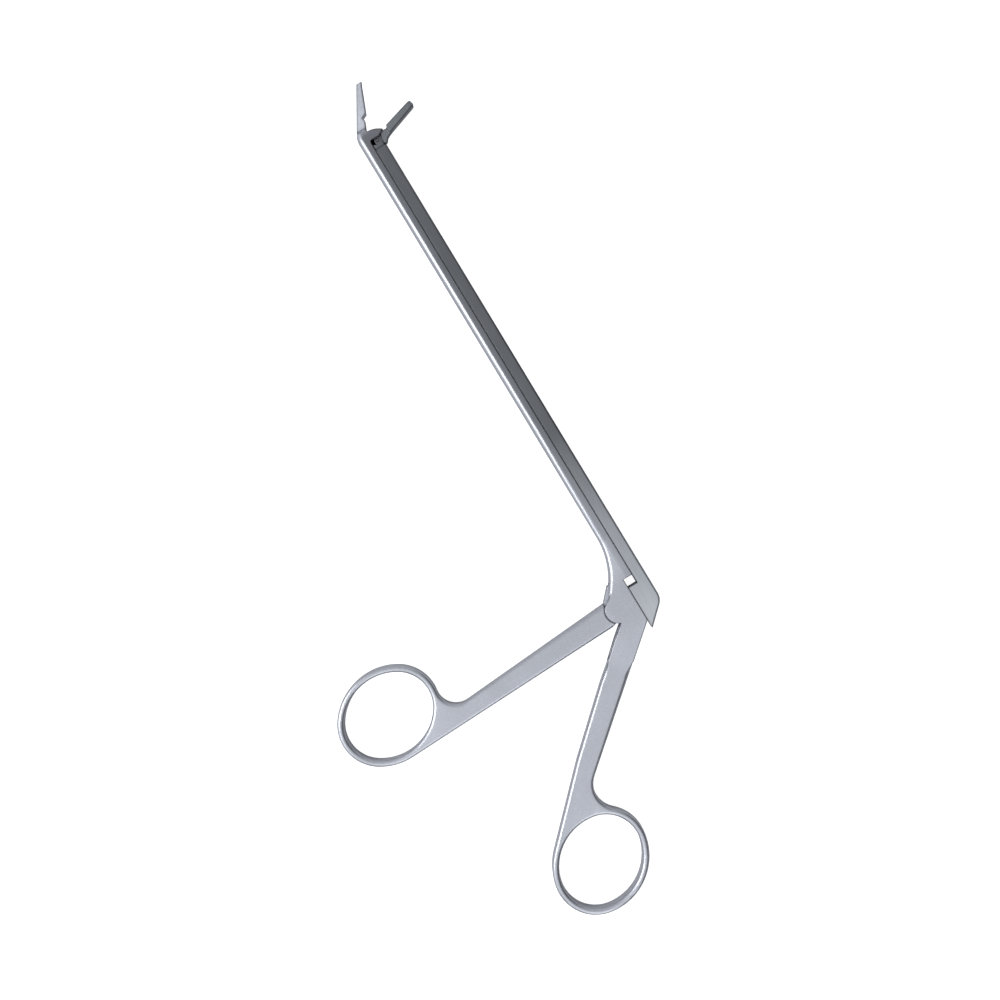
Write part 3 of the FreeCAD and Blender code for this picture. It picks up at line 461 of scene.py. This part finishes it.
# %% Lamps
AIM = (LOOK_AT[0], LOOK_AT[1], 0.0)
along_picture = np.array([math.sin(SHAFT_LEAN), math.cos(SHAFT_LEAN)])
across_picture = np.array([math.cos(SHAFT_LEAN), -math.sin(SHAFT_LEAN)])


def in_picture(right, up, height):
    """A place given as metres right and up in the picture, from its centre, and a height."""
    spot = np.array(LOOK_AT) + across_picture * right + along_picture * up
    return (float(spot[0]), float(spot[1]), height)


def soft_lamp(name, place, aim, width, power):
    """A square softbox at a place, turned so that its front looks at the aim."""
    data = bpy.data.lights.new(name, "AREA")
    data.shape = "SQUARE"
    data.size = width
    data.energy = power
    lamp = bpy.data.objects.new(name, data)
    bpy.context.collection.objects.link(lamp)
    lamp.location = place
    way = np.array(aim) - np.array(place)
    lamp.rotation_euler = (math.atan2(math.hypot(way[0], way[1]), -way[2]), 0.0,
                           math.atan2(way[1], way[0]) - math.pi / 2)


KEY_PLACE = in_picture(-0.62, -0.10, 0.80)
LOW_PLACE = in_picture(0.2, -0.8, 0.6)
soft_lamp("key softbox", KEY_PLACE, AIM, width=0.32, power=2.8)
soft_lamp("low softbox", LOW_PLACE, AIM, width=0.6, power=1.1)
print("key softbox at", [round(value, 2) for value in KEY_PLACE])

# %% [markdown]
# ## The room that the steel reflects
# Metal shows its surroundings. Here they are a wide bright ceiling that is dimmer towards the jaws and
# almost dark to the right, with a soft glow low on the left and far up in the picture. The camera sees
# plain white instead. Each part is one dot product of the direction with a chosen way, eased between two
# values while the product goes from from_low to from_high, and the light is
# ceiling * towards_jaws * towards_right + low_left + far_up.

# %% World
ZENITH_BRIGHT = 1.0
ZENITH_DARK = 0.55
RIGHT_DARK = 0.12
LEFT_GLOW = 0.65
UP_GLOW = 0.5
HORIZON = 0.05

world = bpy.data.worlds.new("studio")
bpy.context.scene.world = world
world.use_nodes = True
world_tree = world.node_tree
world_tree.nodes.clear()
world_output = world_tree.nodes.new("ShaderNodeOutputWorld")
room = add_node(world_tree, "ShaderNodeBackground", Color=(0.96, 0.98, 1.0, 1.0))
white = add_node(world_tree, "ShaderNodeBackground", Color=(1.0, 1.0, 1.0, 1.0), Strength=1.0)
direction = world_tree.nodes.new("ShaderNodeTexCoord")


def share_towards(way, low, high, from_low, from_high):
    """How far a direction points a given way: its dot product with it, eased from one value to another."""
    dot = world_tree.nodes.new("ShaderNodeVectorMath")
    dot.operation = "DOT_PRODUCT"
    dot.inputs[1].default_value = way
    world_tree.links.new(direction.outputs["Generated"], dot.inputs[0])
    eased = add_node(world_tree, "ShaderNodeMapRange", From_Min=from_low, From_Max=from_high,
                     To_Min=low, To_Max=high)
    eased.interpolation_type = "SMOOTHSTEP"
    world_tree.links.new(dot.outputs["Value"], eased.inputs["Value"])
    return eased.outputs["Result"]


up_picture = (float(along_picture[0]), float(along_picture[1]), 0.0)
right_picture = (float(across_picture[0]), float(across_picture[1]), 0.0)
left_picture = tuple(-value for value in right_picture)
ceiling = share_towards((0.0, 0.0, 1.0), 0.0, 1.0, 0.0, 0.72)
towards_jaws = share_towards(up_picture, ZENITH_BRIGHT, ZENITH_DARK, -0.42, 0.42)
towards_right = share_towards(right_picture, 1.0, RIGHT_DARK, 0.25, 0.75)
low_left = share_towards(left_picture, HORIZON, LEFT_GLOW, 0.3, 0.9)
far_up = share_towards(up_picture, 0.0, UP_GLOW, 0.6, 0.95)
sides = combine(world_tree, "MULTIPLY", towards_jaws, towards_right)
ceiling = combine(world_tree, "MULTIPLY", ceiling, sides)
glow = combine(world_tree, "ADD", low_left, far_up)
world_tree.links.new(combine(world_tree, "ADD", ceiling, glow), room.inputs["Strength"])

world_seen = world_tree.nodes.new("ShaderNodeMixShader")
world_rays = world_tree.nodes.new("ShaderNodeLightPath")
world_tree.links.new(world_rays.outputs["Is Camera Ray"], world_seen.inputs["Fac"])
world_tree.links.new(room.outputs["Background"], world_seen.inputs[1])
world_tree.links.new(white.outputs["Background"], world_seen.inputs[2])
world_tree.links.new(world_seen.outputs["Shader"], world_output.inputs["Surface"])
bpy.context.scene.view_settings.view_transform = "Standard"
print("world nodes:", len(world_tree.nodes))
